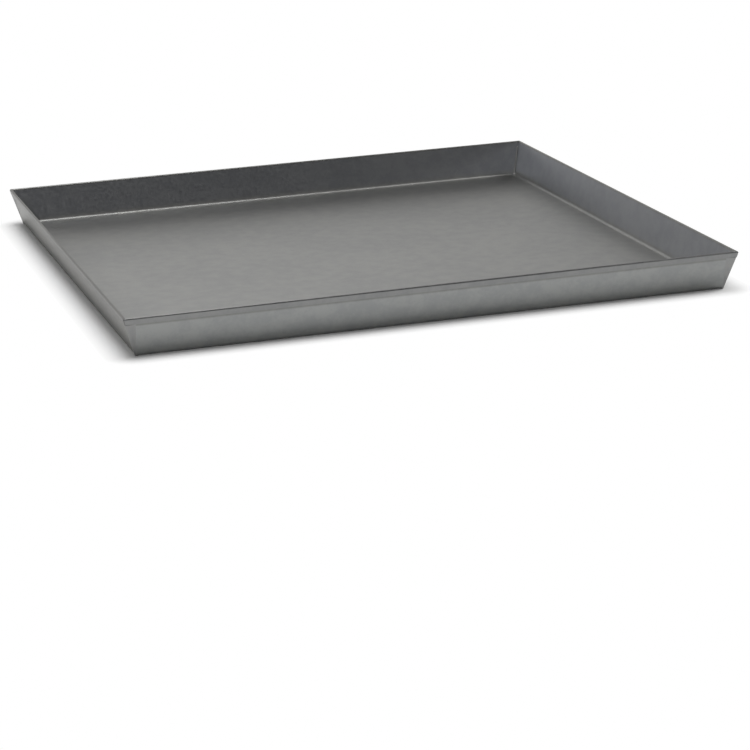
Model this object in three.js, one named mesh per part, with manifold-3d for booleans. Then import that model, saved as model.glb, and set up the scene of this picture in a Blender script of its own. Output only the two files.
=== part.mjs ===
// A square baking pan folded from one sheet of steel: a flat floor, four walls that lean outwards,
// a flat hem along each rim, and a weld up each corner where the folded walls meet.
import * as THREE from "three";
import { mergeVertices } from "three/addons/utils/BufferGeometryUtils.js";
import Module from "manifold-3d";

const wasm = await Module();
wasm.setup();

// Driving dimensions, in millimetres and degrees
const INSIDE_LENGTH = 406.4; // left to right between the walls at the rim
const INSIDE_WIDTH = 406.4; // front to back between the walls at the rim
const DEPTH = 25.4; // floor to the top of the rim
const SHEET = 0.8; // thickness of the steel
const WALL_LEAN = 14; // of the walls from upright
const BEND_RADIUS = 2; // inside, between floor and wall
const HEM_DEPTH = 4; // top of the rim to the lip's cut edge, along the wall
const HEM_SLIT = 0.3; // left open between the lip and the wall
const MITRE_SLIT = 0.3; // left open where two hems meet at a corner
const WELD_RADIUS = 0.7; // of the half-round bead in the open corner
const WELD_FLARE = 1.2; // how far the bead stands out of the corner under the hems
const WELD_CLEARANCE = 0.3; // between a weld and the sheet's cut edges

// Finish of the steel and of the welds
const STEEL_COLOUR = 0x85888b;
const WELD_COLOUR = 0x6c6f72;

// Steps in each arc of the folded section and across a weld's bead
const ARC_STEPS = 6;
const WELD_STEPS = 8;

// The folded section is drawn in a plane: x is the inset from the rim's outermost line, y is the height.
const lean = THREE.MathUtils.degToRad(WALL_LEAN);
const intoPan = new THREE.Vector2(Math.cos(lean), Math.sin(lean)); // normal of a wall's inner face
const upWall = new THREE.Vector2(-Math.sin(lean), Math.cos(lean));
const panHeight = SHEET + DEPTH;
const hemRadius = SHEET + HEM_SLIT / 2;
const hemThickness = hemRadius * (1 + Math.cos(lean)); // across the rim, measured level
const rimLength = INSIDE_LENGTH + 2 * hemThickness;
const rimWidth = INSIDE_WIDTH + 2 * hemThickness;
const hemCentre = new THREE.Vector2(hemRadius, panHeight - hemRadius);
const lipLength = HEM_DEPTH - hemRadius;
const bendHeight = SHEET + BEND_RADIUS;
const bendRise = hemCentre.y - bendHeight;
const bendInset = hemCentre.x + (hemRadius + BEND_RADIUS + bendRise * Math.sin(lean)) / Math.cos(lean);
const bendCentre = new THREE.Vector2(bendInset, bendHeight);

// Point of the section that lies a distance towards the pan's inside and a distance up the wall.
function sectionPoint(from, inwards, upwards) {
  return from.clone().addScaledVector(intoPan, inwards).addScaledVector(upWall, upwards);
}

// Weld sizes that follow from the bead and the sheet
const weldWidth = 2 * WELD_RADIUS;
const lipEdge = sectionPoint(hemCentre, -hemRadius, -lipLength);
const seamTop = lipEdge.y - WELD_CLEARANCE;
const weldTop = seamTop - WELD_CLEARANCE;
const weldTail = bendInset * Math.SQRT2 + weldWidth; // end of the weld on the floor, along the diagonal

// The inner face of the sheet from the floor to the rim, then round the hem and back down the outside.
function foldedSection() {
  const wallAngle = Math.PI + lean;
  const section = new THREE.Path();
  section.absarc(bendCentre.x, bendCentre.y, BEND_RADIUS, 1.5 * Math.PI, wallAngle, true);
  section.absarc(hemCentre.x, hemCentre.y, hemRadius, lean, wallAngle, false);
  const cutEdge = sectionPoint(hemCentre, -HEM_SLIT / 2, -lipLength);
  section.lineTo(lipEdge.x, lipEdge.y);
  section.lineTo(cutEdge.x, cutEdge.y);
  section.absarc(hemCentre.x, hemCentre.y, HEM_SLIT / 2, wallAngle, lean, true);
  section.absarc(bendCentre.x, bendCentre.y, BEND_RADIUS + SHEET, wallAngle, 1.5 * Math.PI, false);
  return section.getPoints(ARC_STEPS);
}

// Closed surface through loops of equally many points: a face fills the first loop and the last.
function loft(loops) {
  const size = loops[0].length;
  const faces = [];
  loops.slice(1).forEach((_, row) => {
    for (let k = 0; k < size; k++) {
      const here = row * size + k;
      const next = row * size + ((k + 1) % size);
      faces.push(here, next + size, next, here, here + size, next + size);
    }
  });
  const last = (loops.length - 1) * size;
  for (let k = 1; k < size - 1; k++) {
    faces.push(0, k, k + 1, last, last + k + 1, last + k);
  }
  const points = loops.flat().flatMap((point) => point.toArray());
  const geometry = new THREE.BufferGeometry();
  geometry.setAttribute("position", new THREE.Float32BufferAttribute(points, 3));
  geometry.setIndex(faces);
  return geometry;
}

// Rectangle that one point of the section traces round the pan, anticlockwise seen from above.
function traceRound(point) {
  const x = rimLength / 2 - point.x;
  const y = rimWidth / 2 - point.x;
  return [
    new THREE.Vector3(-x, -y, point.y),
    new THREE.Vector3(x, -y, point.y),
    new THREE.Vector3(x, y, point.y),
    new THREE.Vector3(-x, y, point.y),
  ];
}

// Solid for cutting, and back to a mesh's geometry
function toSolid(geometry) {
  const bare = geometry.clone();
  bare.deleteAttribute("normal");
  bare.deleteAttribute("uv");
  const merged = mergeVertices(bare);
  const vertProperties = merged.getAttribute("position").array;
  const triVerts = new Uint32Array(merged.index.array);
  return new wasm.Manifold(new wasm.Mesh({ numProp: 3, vertProperties, triVerts }));
}

function toGeometry(solid) {
  const { vertProperties, triVerts } = solid.getMesh();
  const geometry = new THREE.BufferGeometry();
  geometry.setAttribute("position", new THREE.BufferAttribute(vertProperties, 3));
  geometry.setIndex(new THREE.BufferAttribute(triVerts, 1));
  return geometry;
}

// Each corner has its own frame: its origin below the rim's corner, its x axis inwards along the diagonal.
const corners = [
  { name: "front_left", x: -1, y: -1 },
  { name: "front_right", x: 1, y: -1 },
  { name: "back_left", x: -1, y: 1 },
  { name: "back_right", x: 1, y: 1 },
];

function cornerFrame(corner) {
  const frame = new THREE.Group();
  frame.position.set((corner.x * rimLength) / 2, (corner.y * rimWidth) / 2, 0);
  frame.rotation.z = Math.atan2(-corner.y, -corner.x);
  frame.updateMatrix();
  return frame;
}

// Upright slab along a corner's diagonal, from outside the rim to a given reach into the pan.
function cornerSlab(reach, width, bottom, top) {
  const overrun = SHEET; // past the rim's corner, so that the cut leaves no skin
  const slab = new THREE.BoxGeometry(reach + overrun, width, top - bottom);
  return slab.translate((reach - overrun) / 2, 0, (bottom + top) / 2);
}

// The blank after folding, with its four corner seams and the slits between the hems cut through.
function panSheet() {
  let sheet = toSolid(loft(foldedSection().map(traceRound)));
  const below = -SHEET;
  const above = panHeight + SHEET;
  const seamWidth = weldWidth + 2 * WELD_CLEARANCE;
  const seam = cornerSlab(weldTail + WELD_CLEARANCE, seamWidth, below, seamTop);
  const slit = cornerSlab(weldTail, MITRE_SLIT, seamTop - SHEET, above);
  for (const corner of corners) {
    const { matrix } = cornerFrame(corner);
    for (const cut of [seam, slit]) {
      sheet = sheet.subtract(toSolid(cut.clone().applyMatrix4(matrix)));
    }
  }
  return toGeometry(sheet);
}

// Section across a weld: a half-round bead outside that may stand out past the walls, flat inside.
function weldLoop(inner, outer, standOut = 0) {
  const half = weldWidth / 2;
  const loop = [];
  for (let k = 0; k <= WELD_STEPS; k++) {
    const angle = Math.PI * (k / WELD_STEPS);
    const retreat = half - (half + standOut) * Math.sin(angle);
    loop.push(new THREE.Vector3(outer.x * Math.SQRT2 + retreat, -half * Math.cos(angle), outer.y));
  }
  const inside = inner.x * Math.SQRT2 + half;
  loop.push(new THREE.Vector3(inside, half, inner.y), new THREE.Vector3(inside, -half, inner.y));
  return loop;
}

// Weld in its corner's frame: from its tail on the floor up to the hems. Inside it follows the bend. Outside it
// fills the corner below the bend to a sharp foot, then swells steadily up the wall.
function cornerWeld() {
  const bendFoot = new THREE.Vector2(bendInset, 0);
  const wallFoot = sectionPoint(bendCentre, -BEND_RADIUS - SHEET, 0);
  const sharpFoot = sectionPoint(wallFoot, 0, -wallFoot.y / Math.cos(lean));
  const tail = weldLoop(bendFoot, bendFoot).map((point) => point.setX(weldTail));
  tail.slice(-2).forEach((point) => point.setZ(SHEET));
  const loops = [tail];
  for (let k = 0; k <= 2 * ARC_STEPS; k++) {
    const angle = 1.5 * Math.PI - (k / (2 * ARC_STEPS)) * (Math.PI / 2 - lean);
    const ray = new THREE.Vector2(Math.cos(angle), Math.sin(angle));
    const inner = bendCentre.clone().addScaledVector(ray, BEND_RADIUS);
    const below = bendFoot.clone().lerp(sharpFoot, k / ARC_STEPS);
    const beside = sharpFoot.clone().lerp(wallFoot, k / ARC_STEPS - 1);
    loops.push(weldLoop(inner, k < ARC_STEPS ? below : beside));
  }
  const wallTop = sectionPoint(hemCentre, hemRadius, 0);
  const swellEnd = sectionPoint(wallTop, 0, (weldTop - wallTop.y) / Math.cos(lean));
  for (const inner of [swellEnd, wallTop]) {
    loops.push(weldLoop(inner, sectionPoint(inner, -SHEET, 0), WELD_FLARE));
  }
  const run = toSolid(loft(loops));
  const keep = toSolid(cornerSlab(weldTail + SHEET, weldWidth + SHEET, -SHEET, weldTop));
  return toGeometry(run.intersect(keep));
}

const steel = () => new THREE.MeshStandardMaterial({
  color: STEEL_COLOUR,
  roughness: 0.42,
  metalness: 0.9,
});

const weldMetal = () => new THREE.MeshStandardMaterial({
  color: WELD_COLOUR,
  roughness: 0.5,
  metalness: 0.9,
});

const pan = new THREE.Group();
const sheet = new THREE.Mesh(panSheet(), steel());
sheet.name = "pan_sheet";
pan.add(sheet);
for (const corner of corners) {
  const frame = cornerFrame(corner);
  const weld = new THREE.Mesh(cornerWeld(), weldMetal());
  weld.name = "corner_weld_" + corner.name;
  frame.add(weld);
  pan.add(frame);
}

export default pan;
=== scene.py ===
import math

import bmesh
import bpy
import numpy as np
from mathutils import Matrix, Vector


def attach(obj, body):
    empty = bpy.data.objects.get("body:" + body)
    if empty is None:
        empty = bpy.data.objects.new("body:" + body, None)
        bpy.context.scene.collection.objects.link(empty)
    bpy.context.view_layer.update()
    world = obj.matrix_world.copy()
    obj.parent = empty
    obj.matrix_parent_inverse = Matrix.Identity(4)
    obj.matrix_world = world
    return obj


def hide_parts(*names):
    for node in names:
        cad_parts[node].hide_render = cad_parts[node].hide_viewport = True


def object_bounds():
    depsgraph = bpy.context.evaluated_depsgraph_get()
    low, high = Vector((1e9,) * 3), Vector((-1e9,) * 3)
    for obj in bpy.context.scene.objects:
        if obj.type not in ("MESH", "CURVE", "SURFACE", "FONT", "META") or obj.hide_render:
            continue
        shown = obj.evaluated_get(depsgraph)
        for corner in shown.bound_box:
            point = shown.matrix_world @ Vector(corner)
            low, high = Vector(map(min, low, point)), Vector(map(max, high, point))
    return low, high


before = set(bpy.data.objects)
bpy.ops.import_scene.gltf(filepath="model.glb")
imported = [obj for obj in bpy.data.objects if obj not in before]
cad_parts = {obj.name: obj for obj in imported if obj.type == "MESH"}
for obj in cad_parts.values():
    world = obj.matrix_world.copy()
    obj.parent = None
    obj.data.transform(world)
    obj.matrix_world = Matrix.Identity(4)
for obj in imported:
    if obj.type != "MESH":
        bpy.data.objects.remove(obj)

cad_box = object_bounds()

# Sizes of the folded sheet, as the solids have them
SHEET = 0.0008  # thickness of the steel
WALL_LEAN = math.radians(14)  # of the walls from upright
BEND_RADIUS = 0.002  # inside, between floor and wall
HEM_DEPTH = 0.004  # top of the rim to the lip's cut edge, along the wall
HEM_SLIT = 0.0003  # left open between the lip and the wall
MITRE_SLIT = 0.0003  # left open where two hems meet at a corner
WELD_RADIUS = 0.0007  # of the half-round bead in the open corner
WELD_FLARE = 0.0012  # how far the bead stands out of the corner under the hems

# Finer than the solids: the weld fills its seam up to a hairline, its bead runs out thinly over the walls
# on both sides, and ripples run up it
SEAM_GAP = 0.00005
SKIN_GAP = 0.00002  # between the bead's thin edges and the walls under them
BLEND_WIDTH = 0.0035  # of the bead on each side of its seam, under the hems
EDGE_ROUNDING = 0.0005  # of the bead's outer edge
RIPPLE_PITCH = 0.0011
RIPPLE_DEPTH = 0.00002
RIPPLE_LAG = 1.6  # by which a ripple trails at the weld's edges, as an angle

# Rows and columns of the grids
FLOOR_ROWS = 24
BEND_ROWS = 16
WALL_ROWS = 14
CREST_ROWS = 20
LIP_ROWS = 4
SIDE_COLUMNS = 48
GUARD = 0.0004  # width of the flat row that keeps a fold's shading off its neighbour
FLOOR_EDGE_INSET = 0.02  # of the floor's last row before the rows at the corner seams
WELD_ROWS = 200
BEAD_COLUMNS = 24
JOIN_DISTANCE = 1e-6  # points nearer than this are one point
CRISP_ANGLE = math.radians(35)  # between two faces, past which their edge isn't smoothed

# Camera at the photograph's viewing angle
CAMERA_PLACE = Vector((-0.5041, -1.7242, 0.4376))
CAMERA_AZIMUTH = math.radians(-16.78)
CAMERA_ELEVATION = math.radians(16.36)
CAMERA_ROLL = math.radians(-2.0)
CAMERA_LENS = 125.36  # in millimetres
CAMERA_SENSOR = 36

# Range that most of a noise's values lie in
NOISE_LOW = 0.3
NOISE_HIGH = 0.7

# Rolled steel: blotches to the metre, and how much the finer ones add to the clouds
CLOUD_SCALE = 14.0
PATCH_SCALE = 110.0
PATCH_SHARE = 0.25
MOTTLE_SCALE = 420.0
MOTTLE_SHARE = 0.2
MARK_SCALE = (60, 2600, 1)  # along and across the rolling direction, and through the sheet

# Rolled steel: its two greys, and the tints that multiply them, three of which are painted light and shade
STEEL_DARK = (0.268, 0.269, 0.263)
STEEL_PALE = (0.302, 0.301, 0.29)
# Painted light: the inner faces of the walls are tinted bluer and brighter, for the bluish light they
# reflect
INSIDE_PAINTED_LIGHT = (1.03, 1.05, 1.13)  # inner faces of the walls
UNDERSIDE_TINT = (0.985, 1.01, 1.03)
SIDE_PAINTED_SHADE = (0.72, 0.7, 0.67)  # painted shade: outer faces of the left and right walls, darker and browner, for the dim table they mirror
CREST_TINT = (0.76, 0.76, 0.76)
HEM_TINT = (0.8, 0.81, 0.83)
# Painted shadow: a dark line under the lips, for the shade they cast on the wall
LIP_PAINTED_SHADOW = (0.72, 0.71, 0.69)  # in a line under the lips

# Rolled steel: how far from a fold its tint or roughness fades
WALL_FADE = 0.003
RIM_FADE = 0.001
HEM_FADE = 0.0008
LIP_SHADOW_DEPTH = 0.0012  # how far the painted shadow reaches below the lip's cut edge
LIP_SHADOW_FADE = 0.001
FOLD_FADE = 0.002
FLOOR_FADE = 0.03

# Rolled steel: roughness of the sheet, what the bends and the floor add to it, and relief
STEEL_SMOOTHEST = 0.33
STEEL_ROUGHEST = 0.41
FOLD_ROUGHER = 0.06
FLOOR_ROUGHER = 0.03
FLOOR_EDGE_ROUGHER = 0.1
GRAIN_STRENGTH = 0.12
GRAIN_HEIGHT = 0.0001
RELIEF_STRENGTH = 0.12
RELIEF_HEIGHT = 0.0002

# Weld metal: blotches to the metre, its two greys, roughness and relief
HEAT_SCALE = 260.0
PIT_SCALE = 2400.0
WELD_DARK = (0.262, 0.265, 0.266)
WELD_PALE = (0.298, 0.297, 0.29)
WELD_SMOOTHEST = 0.38
WELD_ROUGHEST = 0.5
PIT_STRENGTH = 0.25
PIT_HEIGHT = 0.0001

# Table: its size and place, its two whites and their blotches to the metre, and its roughness
TABLE_HALF_SIZE = 6.0
TABLE_DROP = 0.0002  # below the pan's base
TABLE_DARK = (0.93, 0.93, 0.925)
TABLE_PALE = (0.95, 0.95, 0.945)
TABLE_SCALE = 3.0
TABLE_ROUGHNESS = 0.9

# The table keeps the pan's shadow near its base and is plain white past the shadow's reach. What the steel
# mirrors keeps the shadow a little further.
SHADOW_CORE = 0.004
SHADOW_REACH = 0.022
MIRRORED_CORE = 0.006
MIRRORED_REACH = 0.034

# Brightness of the room and of the pale wall behind the pan, where 1 is white
ROOM_LEVEL = 0.03
WALL_LEVEL = 0.87
PALE_WALL = Vector((-0.13, 0.92, 0.37)).normalized()  # direction of its middle
WALL_EDGE = 0.7  # cosine of the angle at which the wall has faded into the room
WALL_CORE = 0.92  # cosine of the angle within which it is evenly pale

# Where the folds lie in the section: x is the inset from the rim's outermost line, y is the height
half_rim = cad_box[1][0]
rim_height = cad_box[1][2]
hem_radius = SHEET + HEM_SLIT / 2
hem_centre = np.array([hem_radius, rim_height - hem_radius])
bend_height = SHEET + BEND_RADIUS
bend_rise = hem_centre[1] - bend_height
bend_reach = hem_radius + BEND_RADIUS + bend_rise * math.sin(WALL_LEAN)
bend_centre = np.array([hem_radius + bend_reach / math.cos(WALL_LEAN), bend_height])
lip_length = HEM_DEPTH - hem_radius
lip_end_height = hem_centre[1] - hem_radius * math.sin(WALL_LEAN) - lip_length * math.cos(WALL_LEAN)
seam_half = WELD_RADIUS + SEAM_GAP
seam_top = lip_end_height - SEAM_GAP
weld_top = seam_top - SEAM_GAP
bend_start = half_rim - bend_centre[0]  # along the sheet from the middle of the floor
bend_end = bend_start + BEND_RADIUS * (math.pi / 2 - WALL_LEAN)
tail_inset = bend_centre[0] + WELD_RADIUS * math.sqrt(2)
notch_inset = tail_inset + SEAM_GAP


def facing(turn):
    """Unit vectors of the section's plane at the given angles."""
    return np.stack([np.cos(turn), np.sin(turn)], axis=-1)


def between(start, end, shares):
    """Points of a straight run, at the given shares of the way."""
    return start + np.outer(shares, end - start)


def folded_section():
    """The sheet's upper face from the middle of the floor to the lip's cut edge, with its normals.

    Along an arc the normal turns and the point keeps its distance from the arc's centre. Along a
    straight run the normal stays the same. The bend's centre lies above the face, the hem's below. Each
    point also gets half the width of the gap that is left open at the corners: it grows from nought at the
    seam's end on the floor to the seam's width, and above the seam it is the slit between the hems.
    """
    bend_turn = np.linspace(math.pi / 2, WALL_LEAN, BEND_ROWS + 1)
    crest_turn = np.linspace(WALL_LEAN, WALL_LEAN + math.pi, CREST_ROWS + 1)
    bend = bend_centre - BEND_RADIUS * facing(bend_turn)
    crest = hem_centre + hem_radius * facing(crest_turn)

    notch_insets = [notch_inset, notch_inset - seam_half / math.sqrt(2), bend_centre[0] + GUARD]
    floor_insets = np.append(np.linspace(half_rim, FLOOR_EDGE_INSET, FLOOR_ROWS), notch_insets)
    floor = np.stack([floor_insets, np.full(len(floor_insets), SHEET)], axis=-1)

    wall_length = np.linalg.norm(crest[0] - bend[-1])
    guard_share = GUARD / wall_length
    seam_share = (seam_top - bend[-1][1]) / (crest[0][1] - bend[-1][1])
    low_shares = np.linspace(guard_share, seam_share, WALL_ROWS)
    wall_shares = np.append(low_shares, [seam_share + guard_share, 1 - guard_share])
    wall = between(bend[-1], crest[0], wall_shares)

    lip_end = crest[-1] + lip_length * np.array([math.sin(WALL_LEAN), -math.cos(WALL_LEAN)])
    lip = between(crest[-1], lip_end, np.linspace(GUARD / lip_length, 1, LIP_ROWS))

    points = np.concatenate([floor, bend, wall, crest, lip])
    turns = np.concatenate([
        np.full(len(floor), math.pi / 2),
        bend_turn,
        np.full(len(wall), WALL_LEAN),
        crest_turn,
        np.full(len(lip), WALL_LEAN + math.pi),
    ])
    above_seam = len(floor) + len(bend) + WALL_ROWS
    gaps = np.clip((notch_inset - points[:, 0]) * math.sqrt(2), 0, seam_half)
    gaps[above_seam:] = MITRE_SLIT / 2
    return points, facing(turns), gaps


def walk_along(points):
    """How far each point of a row of points lies from the first, along the row."""
    return np.append(0, np.cumsum(np.linalg.norm(np.diff(points, axis=0), axis=1)))


def sheet_grid():
    """Both faces of the folded sheet as points[face, side, row, column], and their place on the blank.

    A row's point lies outwards by half the rim less its inset. A column's place along the side is a
    share of that reach, less the corner's gap measured along the wall. The lower face is the upper
    one moved back by the sheet's thickness. The blank's place is the same walk laid out flat, with
    the thickness as its height.
    """
    upper, normals, gaps = folded_section()
    walked = walk_along(upper)
    shares = np.linspace(-1, 1, SIDE_COLUMNS + 1)
    faces = []
    flats = []
    for depth in (0, SHEET):
        section = upper - depth * normals
        outwards = half_rim - section[:, 0]
        along = np.outer(outwards - gaps * math.sqrt(2), shares)
        across = np.repeat(outwards[:, None], len(shares), axis=1)
        height = np.repeat(section[:, 1][:, None], len(shares), axis=1)
        flat = np.repeat(walked[:, None], len(shares), axis=1)
        faces.append([(along, -across, height), (across, along, height),
                      (-along, across, height), (-across, -along, height)])
        level = np.full_like(flat, -depth)
        flats.append([(along, -flat, level), (flat, along, level),
                      (-along, flat, level), (-flat, -along, level)])
    points = np.moveaxis(np.array(faces), 2, -1)
    return points, np.moveaxis(np.array(flats), 2, -1), gaps


def quads(a, b, c, d):
    """Faces from four index arrays of one shape, one corner from each."""
    return np.stack([a, b, c, d], axis=-1).reshape(-1, 4)


def join_doubles(mesh):
    """Joins the points of a mesh that lie in one place."""
    joined = bmesh.new()
    joined.from_mesh(mesh)
    bmesh.ops.remove_doubles(joined, verts=joined.verts, dist=JOIN_DISTANCE)
    joined.to_mesh(mesh)
    joined.free()


def shown(name, mesh):
    """A piece made of a mesh: smooth, with what is sharper than a step of a fold left crisp."""
    mesh.shade_smooth()
    mesh.set_sharp_from_angle(angle=CRISP_ANGLE)
    piece = bpy.data.objects.new(name, mesh)
    bpy.context.collection.objects.link(piece)
    return piece


def pan_sheet():
    """The folded sheet: its two faces, and strips that close the lips' cut edges and the corner seams."""
    points, flat, gaps = sheet_grid()
    index = np.arange(points[..., 0].size).reshape(points.shape[:-1])
    top, under = index
    open_rows = np.flatnonzero(gaps > 0)[0] - 1
    left = index[:, :, open_rows:, 0]
    right = index[:, :, open_rows:, -1]
    rim = index[:, :, -1]
    faces = np.concatenate([
        quads(top[:, :-1, :-1], top[:, 1:, :-1], top[:, 1:, 1:], top[:, :-1, 1:]),
        quads(under[:, :-1, :-1], under[:, :-1, 1:], under[:, 1:, 1:], under[:, 1:, :-1]),
        quads(left[0, :, :-1], left[1, :, :-1], left[1, :, 1:], left[0, :, 1:]),
        quads(right[0, :, :-1], right[0, :, 1:], right[1, :, 1:], right[1, :, :-1]),
        quads(rim[0, :, :-1], rim[1, :, :-1], rim[1, :, 1:], rim[0, :, 1:]),
    ])
    mesh = bpy.data.meshes.new("pan_sheet_surface")
    mesh.from_pydata(points.reshape(-1, 3).tolist(), [], faces.tolist())
    blank = mesh.attributes.new("blank", "FLOAT_VECTOR", "POINT")
    blank.data.foreach_set("vector", flat.ravel().astype(np.float32))
    join_doubles(mesh)
    return shown("folded_sheet", mesh)


def weld_grid():
    """A weld as points[row, column] in its corner's frame: x inwards along the diagonal, z up.

    The rows walk along the sheet's section from the tail on the floor up to the hems. Outside, they run
    straight to the sharp foot below the bend and straight on up the wall. There a row follows both walls'
    faces, rounded where they would meet, and swells by a bump that is one in the middle and dies out
    smoothly at the bead's edges: one less the squared share of the way across, squared. The bead widens
    and stands out further steadily up to the hems, with ripples that trail towards its edges. Inside, a
    row is flat and as wide as the seam. At the tail both are square.
    """
    upper, normals, _ = folded_section()
    walked = walk_along(upper)
    below_crest = len(upper) - CREST_ROWS - LIP_ROWS - 1
    end = np.interp(weld_top, upper[:below_crest, 1], walked[:below_crest])
    walk = np.linspace(half_rim - tail_inset, end, WELD_ROWS + 1)
    inner = np.stack([np.interp(walk, walked, part) for part in upper.T], axis=-1)
    normal = np.stack([np.interp(walk, walked, part) for part in normals.T], axis=-1)
    wall_foot = bend_centre - (BEND_RADIUS + SHEET) * facing(WALL_LEAN)
    sharp_foot = np.array([wall_foot[0] + wall_foot[1] * math.tan(WALL_LEAN), 0])
    bend_path = np.array([[bend_centre[0], 0], sharp_foot, wall_foot])
    bend_stops = np.linspace(bend_start, bend_end, len(bend_path))
    filled = np.stack([np.interp(walk, bend_stops, part) for part in bend_path.T], axis=-1)
    in_bend = (walk > bend_start) & (walk < bend_end)
    outer = np.where(in_bend[:, None], filled, inner - SHEET * normal)

    grown = np.clip((walk - bend_end) / (end - bend_end), 0, 1)
    share = np.linspace(-1, 1, BEAD_COLUMNS + 1)
    bump = (1 - share**2)**2
    across = np.outer(WELD_RADIUS + BLEND_WIDTH * grown, share)
    phase = np.add.outer(walk * math.tau / RIPPLE_PITCH, RIPPLE_LAG * share**2)
    stand_out = (WELD_FLARE * grown + EDGE_ROUNDING)[:, None] + RIPPLE_DEPTH * np.sin(phase)
    swelling = stand_out * bump
    rounded = np.hypot(across, EDGE_ROUNDING * (1 - share**2))
    clearance = SKIN_GAP * np.minimum(grown * WELD_ROWS, 1)[:, None]

    # After the bead's columns come the seam's outer edge, the inner face and the seam's other outer edge
    seam_side = np.full((len(walk), 1), WELD_RADIUS)
    seam_edge = seam_side - clearance
    bead = rounded - swelling - clearance
    across = np.concatenate([across, seam_side, seam_side, -seam_side, -seam_side], axis=1)
    retreat = np.concatenate([bead, seam_edge, seam_side, seam_side, seam_edge], axis=1)
    squared = np.clip((tail_inset - inner[:, 0]) / (tail_inset - bend_centre[0]), 0, 1)[:, None]
    outside = np.repeat(outer[:, None], len(share) + 1, axis=1)
    section = np.concatenate([outside, np.repeat(inner[:, None], 2, axis=1), outer[:, None]], axis=1)
    inwards = section[..., 0] * math.sqrt(2) + retreat * squared
    return np.stack([inwards, across, section[..., 1]], axis=-1)


def corner_weld(name, side_x, side_y):
    """One weld, turned into its corner of the pan, with a face over each end."""
    grid = weld_grid()
    rows, columns = grid.shape[:2]
    inwards, across, height = np.moveaxis(grid, -1, 0)
    x = side_x * half_rim - (side_x * inwards - side_y * across) / math.sqrt(2)
    y = side_y * half_rim - (side_y * inwards + side_x * across) / math.sqrt(2)
    points = np.stack([x, y, height], axis=-1).reshape(-1, 3)
    index = np.arange(rows * columns).reshape(rows, columns)
    after = np.roll(index, -1, axis=1)
    faces = quads(index[:-1], index[1:], after[1:], after[:-1]).tolist()
    ends = [index[0].tolist(), index[-1][::-1].tolist()]
    mesh = bpy.data.meshes.new(name + "_surface")
    mesh.from_pydata(points.tolist(), [], faces + ends)
    join_doubles(mesh)
    return shown(name, mesh)


def add_node(tree, kind, sockets=None, **settings):
    """One node, its settings given by name, its sockets filled with values or other nodes' outputs."""
    node = tree.nodes.new(kind)
    for name, value in settings.items():
        setattr(node, name, value)
    for name, value in (sockets or {}).items():
        if isinstance(value, bpy.types.NodeSocket):
            tree.links.new(value, node.inputs[name])
        else:
            node.inputs[name].default_value = value
    return node


def fresh_material(name):
    """An empty node material."""
    material = bpy.data.materials.new(name)
    material.use_nodes = True
    material.node_tree.nodes.clear()
    return material, material.node_tree


def noise(tree, place, scale, detail=3.0, roughness=0.5):
    """Soft random values, about half on average, at a number of blotches to the metre."""
    sockets = {"Vector": place, "Scale": scale, "Detail": detail, "Roughness": roughness}
    return add_node(tree, "ShaderNodeTexNoise", sockets).outputs["Fac"]


def spread(tree, value, low, high, to_low, to_high):
    """A value's range from low to high, carried over to another range and held at its ends."""
    sockets = {"Value": value, "From Min": low, "From Max": high, "To Min": to_low, "To Max": to_high}
    return add_node(tree, "ShaderNodeMapRange", sockets).outputs["Result"]


def from_noise(tree, value, to_low, to_high):
    """The range that most of a noise's values lie in, carried over to another range."""
    return spread(tree, value, NOISE_LOW, NOISE_HIGH, to_low, to_high)


def two_tones(tree, share, first, second):
    """A colour between two, by a share."""
    ramp = add_node(tree, "ShaderNodeValToRGB", {"Fac": share})
    ramp.color_ramp.elements[0].color = (*first, 1)
    ramp.color_ramp.elements[1].color = (*second, 1)
    return ramp.outputs["Color"]


def calculate(tree, operation, first, second=0.0):
    """The result of one sum on two values."""
    return add_node(tree, "ShaderNodeMath", {0: first, 1: second}, operation=operation).outputs[0]


def vector_sum(tree, operation, first, second=(0, 0, 0)):
    """The outputs of one sum on two vectors."""
    return add_node(tree, "ShaderNodeVectorMath", {0: first, 1: second}, operation=operation).outputs


def tinted(tree, share, colour, tint):
    """A colour multiplied by a tint, by a share.

    The node has sockets of one name for numbers and for colours, so these are taken by their place.
    """
    node = add_node(tree, "ShaderNodeMix", data_type="RGBA", blend_type="MULTIPLY")
    tree.links.new(share, node.inputs[0])
    tree.links.new(colour, node.inputs[6])
    node.inputs[7].default_value = (*tint, 1)
    return node.outputs[2]


def stripe(tree, walk, start, end, fade):
    """One between two places along the walk, nought outside them, with a soft edge of the given width."""
    after = spread(tree, walk, start - fade, start, 0.0, 1.0)
    before = spread(tree, walk, end, end + fade, 1.0, 0.0)
    return calculate(tree, "MULTIPLY", after, before)


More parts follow.
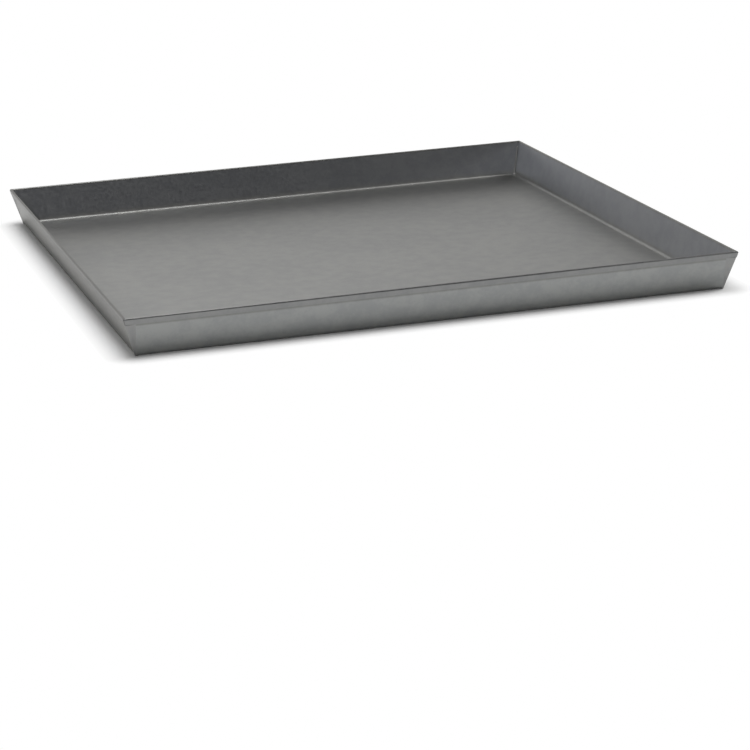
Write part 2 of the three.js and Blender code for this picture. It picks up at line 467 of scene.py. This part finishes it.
def rolled_steel():
    """Dull grey cold-rolled sheet, read on the blank's own coordinates, as it was before folding.

    Clouds, patches and fine mottling tint it, and marks run along the rolling direction. The insides of
    the walls are bluer and brighter than the floor: painted light, for the bluish light they reflect. The
    outsides of the left and right walls are darker and browner: painted shade, for the dim table they
    mirror. The hems are darker, with a painted shadow in a dark line under their lips. The bends are
    rougher, and so is the floor, most of all towards its edges.
    """
    material, tree = fresh_material("rolled_steel")
    blank = add_node(tree, "ShaderNodeAttribute", attribute_name="blank").outputs["Vector"]
    part = add_node(tree, "ShaderNodeSeparateXYZ", {"Vector": blank}).outputs
    along_grain = calculate(tree, "ABSOLUTE", part["X"])
    across_grain = calculate(tree, "ABSOLUTE", part["Y"])
    walk = calculate(tree, "MAXIMUM", along_grain, across_grain)
    # The left and right sides of the blank, which get the painted side shade
    left_and_right = calculate(tree, "GREATER_THAN", along_grain, across_grain)
    underside = spread(tree, part["Z"], -SHEET, -SHEET / 2, 1.0, 0.0)
    stretched = add_node(tree, "ShaderNodeMapping", {"Vector": blank, "Scale": MARK_SCALE})
    clouds = noise(tree, blank, CLOUD_SCALE)
    patches = noise(tree, blank, PATCH_SCALE)
    mottle = noise(tree, blank, MOTTLE_SCALE, detail=4.0, roughness=0.6)
    marks = noise(tree, stretched.outputs["Vector"], 1.0)

    wall_rise = bend_rise + (hem_radius + BEND_RADIUS) * math.sin(WALL_LEAN)
    crest_start = bend_end + wall_rise / math.cos(WALL_LEAN)
    crest_end = crest_start + hem_radius * math.pi
    lip_end = crest_end + lip_length
    under_lip = crest_start - lip_length

    walls = spread(tree, walk, bend_end, bend_end + WALL_FADE, 0.0, 1.0)
    below_rim = spread(tree, walk, crest_start - RIM_FADE, crest_start, 1.0, 0.0)
    # Painted light goes on the inner faces of the walls: a bluer, brighter tint for the bluish light they
    # reflect
    inside = calculate(tree, "MULTIPLY", below_rim, calculate(tree, "SUBTRACT", walls, underside))
    crest = stripe(tree, walk, crest_start, crest_end - hem_radius, HEM_FADE)
    hem = stripe(tree, walk, crest_end - hem_radius, lip_end, HEM_FADE)
    # Painted shadow: the wall's outer face under each lip and just below its cut edge, darkened for the
    # lip's shade
    hidden = stripe(tree, walk, under_lip - LIP_SHADOW_DEPTH, crest_end, LIP_SHADOW_FADE)
    lip_shadow = calculate(tree, "MULTIPLY", underside, hidden)
    folds = stripe(tree, walk, bend_start, bend_end, FOLD_FADE)
    floor = spread(tree, walk, bend_start, bend_end, 1.0, 0.0)
    over_crest = spread(tree, walk, crest_start, crest_start + hem_radius, 0.0, 1.0)
    outside = calculate(tree, "MAXIMUM", underside, over_crest)
    # Painted shade: the outsides of the left and right walls, darkened for the dim table they mirror
    side_shade = calculate(tree, "MULTIPLY", outside, left_and_right)

    shade = calculate(tree, "ADD", clouds, from_noise(tree, mottle, -MOTTLE_SHARE, MOTTLE_SHARE))
    shade = calculate(tree, "ADD", shade, from_noise(tree, patches, -PATCH_SHARE, PATCH_SHARE))
    colour = two_tones(tree, from_noise(tree, shade, 0.0, 1.0), STEEL_DARK, STEEL_PALE)
    # Painted light: the insides of the walls are made bluer and brighter
    colour = tinted(tree, inside, colour, INSIDE_PAINTED_LIGHT)
    colour = tinted(tree, underside, colour, UNDERSIDE_TINT)
    # Painted shade: the left and right outsides are made darker and browner
    colour = tinted(tree, side_shade, colour, SIDE_PAINTED_SHADE)
    colour = tinted(tree, crest, colour, CREST_TINT)
    colour = tinted(tree, hem, colour, HEM_TINT)
    # Painted shadow: a dark line under the lips
    colour = tinted(tree, lip_shadow, colour, LIP_PAINTED_SHADOW)

    rough = from_noise(tree, mottle, STEEL_SMOOTHEST, STEEL_ROUGHEST)
    rough = calculate(tree, "ADD", rough, calculate(tree, "MULTIPLY", folds, FOLD_ROUGHER))
    floor_rough = spread(tree, walk, bend_start - FLOOR_FADE, bend_start, FLOOR_ROUGHER, FLOOR_EDGE_ROUGHER)
    rough = calculate(tree, "ADD", rough, calculate(tree, "MULTIPLY", floor, floor_rough))
    grain = add_node(tree, "ShaderNodeBump", {
        "Height": marks, "Strength": GRAIN_STRENGTH, "Distance": GRAIN_HEIGHT})
    relief = add_node(tree, "ShaderNodeBump", {
        "Height": mottle, "Strength": RELIEF_STRENGTH, "Distance": RELIEF_HEIGHT,
        "Normal": grain.outputs["Normal"]})
    shader = add_node(tree, "ShaderNodeBsdfPrincipled", {
        "Base Color": colour, "Metallic": 1.0, "Roughness": rough, "Normal": relief.outputs["Normal"]})
    add_node(tree, "ShaderNodeOutputMaterial", {"Surface": shader.outputs["BSDF"]})
    return material


def weld_steel():
    """Weld metal dressed nearly flush: as grey as the sheet, cloudier and rougher."""
    material, tree = fresh_material("weld_steel")
    place = add_node(tree, "ShaderNodeTexCoord").outputs["Object"]
    heat = noise(tree, place, HEAT_SCALE)
    pits = noise(tree, place, PIT_SCALE, detail=4.0)
    colour = two_tones(tree, from_noise(tree, heat, 0.0, 1.0), WELD_DARK, WELD_PALE)
    rough = from_noise(tree, heat, WELD_SMOOTHEST, WELD_ROUGHEST)
    relief = add_node(tree, "ShaderNodeBump", {
        "Height": pits, "Strength": PIT_STRENGTH, "Distance": PIT_HEIGHT})
    shader = add_node(tree, "ShaderNodeBsdfPrincipled", {
        "Base Color": colour, "Metallic": 1.0, "Roughness": rough, "Normal": relief.outputs["Normal"]})
    add_node(tree, "ShaderNodeOutputMaterial", {"Surface": shader.outputs["BSDF"]})
    return material


def table_top():
    """Matt white table that keeps the pan's shadow and is plain white further off.

    A point's distance from the pan's base is the length of what its place exceeds half the base by. Past
    the shadow, the camera, reflections and light through glass meet a white of strength 1. That white is
    only there to be seen, so it isn't sampled as a lamp.
    """
    material, tree = fresh_material("table_white")
    place = add_node(tree, "ShaderNodeTexCoord").outputs["Object"]
    half_base = half_rim - bend_centre[0]
    mirrored = vector_sum(tree, "ABSOLUTE", place)["Vector"]
    excess = vector_sum(tree, "SUBTRACT", mirrored, (half_base, half_base, 0))["Vector"]
    distance = vector_sum(tree, "LENGTH", vector_sum(tree, "MAXIMUM", excess)["Vector"])["Value"]
    path = add_node(tree, "ShaderNodeLightPath").outputs
    mirrored_ray = calculate(tree, "MAXIMUM", path["Is Glossy Ray"], path["Is Transmission Ray"])
    seen_white = spread(tree, distance, SHADOW_CORE, SHADOW_REACH, 0.0, path["Is Camera Ray"])
    mirrored_white = spread(tree, distance, MIRRORED_CORE, MIRRORED_REACH, 0.0, mirrored_ray)
    white_share = calculate(tree, "MAXIMUM", seen_white, mirrored_white)
    colour = two_tones(tree, noise(tree, place, TABLE_SCALE), TABLE_DARK, TABLE_PALE)
    matt = add_node(tree, "ShaderNodeBsdfPrincipled", {
        "Base Color": colour, "Roughness": TABLE_ROUGHNESS, "Specular IOR Level": 0.0})
    white = add_node(tree, "ShaderNodeEmission", {"Color": (1, 1, 1, 1), "Strength": 1.0})
    mixed = add_node(tree, "ShaderNodeMixShader", {
        0: white_share, 1: matt.outputs["BSDF"], 2: white.outputs["Emission"]})
    add_node(tree, "ShaderNodeOutputMaterial", {"Surface": mixed.outputs["Shader"]})
    material.cycles.emission_sampling = "NONE"
    return material


def lay_table():
    """A square table just under the pan, wide enough to fill the view."""
    square = np.array([[-1, -1, 0], [1, -1, 0], [1, 1, 0], [-1, 1, 0]])
    corners = TABLE_HALF_SIZE * square - np.array([0, 0, TABLE_DROP])
    mesh = bpy.data.meshes.new("table")
    mesh.from_pydata(corners.tolist(), [], [(0, 1, 2, 3)])
    table = bpy.data.objects.new("table", mesh)
    bpy.context.collection.objects.link(table)
    mesh.materials.append(table_top())


def place_camera():
    """The photograph's camera, from its place, the way it looks and its tilt about that line."""
    level = math.cos(CAMERA_ELEVATION)
    back = Vector((
        math.sin(CAMERA_AZIMUTH) * level,
        -math.cos(CAMERA_AZIMUTH) * level,
        math.sin(CAMERA_ELEVATION),
    ))
    right = Vector((math.cos(CAMERA_AZIMUTH), math.sin(CAMERA_AZIMUTH), 0))
    axes = Matrix((right, back.cross(right), back)).transposed()
    turn = axes @ Matrix.Rotation(CAMERA_ROLL, 3, "Z")
    camera_data = bpy.data.cameras.new("camera")
    camera_data.lens = CAMERA_LENS
    camera_data.sensor_width = CAMERA_SENSOR
    camera = bpy.data.objects.new("camera", camera_data)
    camera.matrix_world = Matrix.Translation(CAMERA_PLACE) @ turn.to_4x4()
    bpy.context.collection.objects.link(camera)
    bpy.context.scene.camera = camera


def hang_softbox(name, azimuth, elevation, distance, width, height, radiance):
    """A soft rectangular lamp that faces the pan, in degrees and metres from the pan's middle.

    Azimuth 0 is the pan's right and 90 its back. The lamp's power is pi times its area and radiance.
    """
    level = distance * math.cos(math.radians(elevation))
    lamp_data = bpy.data.lights.new(name, "AREA")
    lamp_data.shape = "RECTANGLE"
    lamp_data.size = width
    lamp_data.size_y = height
    lamp_data.energy = math.pi * width * height * radiance
    lamp = bpy.data.objects.new(name, lamp_data)
    lamp.location = (
        level * math.cos(math.radians(azimuth)),
        level * math.sin(math.radians(azimuth)),
        distance * math.sin(math.radians(elevation)),
    )
    lamp.rotation_euler = (-lamp.location).to_track_quat("-Z", "Y").to_euler()
    bpy.context.collection.objects.link(lamp)


def light_studio():
    """A dim room with a pale wall behind the pan, and six soft lamps.

    The room's brightness rises with how near a direction is to the middle of the pale wall. The main lamps
    hang close overhead, high on the right and at the front left. Three weak ones fill in from the left, the
    front right and low at the back left.
    """
    world = bpy.data.worlds.new("studio")
    world.use_nodes = True
    tree = world.node_tree
    tree.nodes.clear()
    direction = add_node(tree, "ShaderNodeTexCoord").outputs["Generated"]
    nearness = vector_sum(tree, "DOT_PRODUCT", direction, PALE_WALL)["Value"]
    strength = spread(tree, nearness, WALL_EDGE, WALL_CORE, ROOM_LEVEL, WALL_LEVEL)
    room = add_node(tree, "ShaderNodeBackground", {"Color": (1, 1, 1, 1), "Strength": strength})
    add_node(tree, "ShaderNodeOutputWorld", {"Surface": room.outputs[0]})
    bpy.context.scene.world = world

    hang_softbox("overhead", azimuth=160, elevation=83, distance=0.8, width=0.42, height=0.42, radiance=5.2)
    hang_softbox("right", azimuth=0, elevation=46, distance=4.0, width=1.8, height=1.8, radiance=7.2)
    hang_softbox("left", azimuth=198, elevation=24, distance=3.0, width=0.5, height=0.5, radiance=2.2)
    hang_softbox("front_left", azimuth=243, elevation=26, distance=3.0, width=0.9, height=0.9, radiance=6.2)
    hang_softbox("front_right", azimuth=313, elevation=24, distance=3.0, width=1.2, height=0.9, radiance=1.2)
    hang_softbox("back_left", azimuth=118, elevation=8, distance=3.0, width=1.0, height=0.5, radiance=0.45)


bpy.context.scene.view_settings.view_transform = "Standard"
place_camera()
light_studio()
lay_table()

sheet = pan_sheet()
sheet.data.materials.append(rolled_steel())
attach(sheet, "root")
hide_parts("pan_sheet")

weld_finish = weld_steel()
corners = {"front_left": (-1, -1), "front_right": (1, -1), "back_left": (-1, 1), "back_right": (1, 1)}
for corner, sides in corners.items():
    weld = corner_weld("weld_bead_" + corner, *sides)
    weld.data.materials.append(weld_finish)
    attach(weld, "root")
    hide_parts("corner_weld_" + corner)
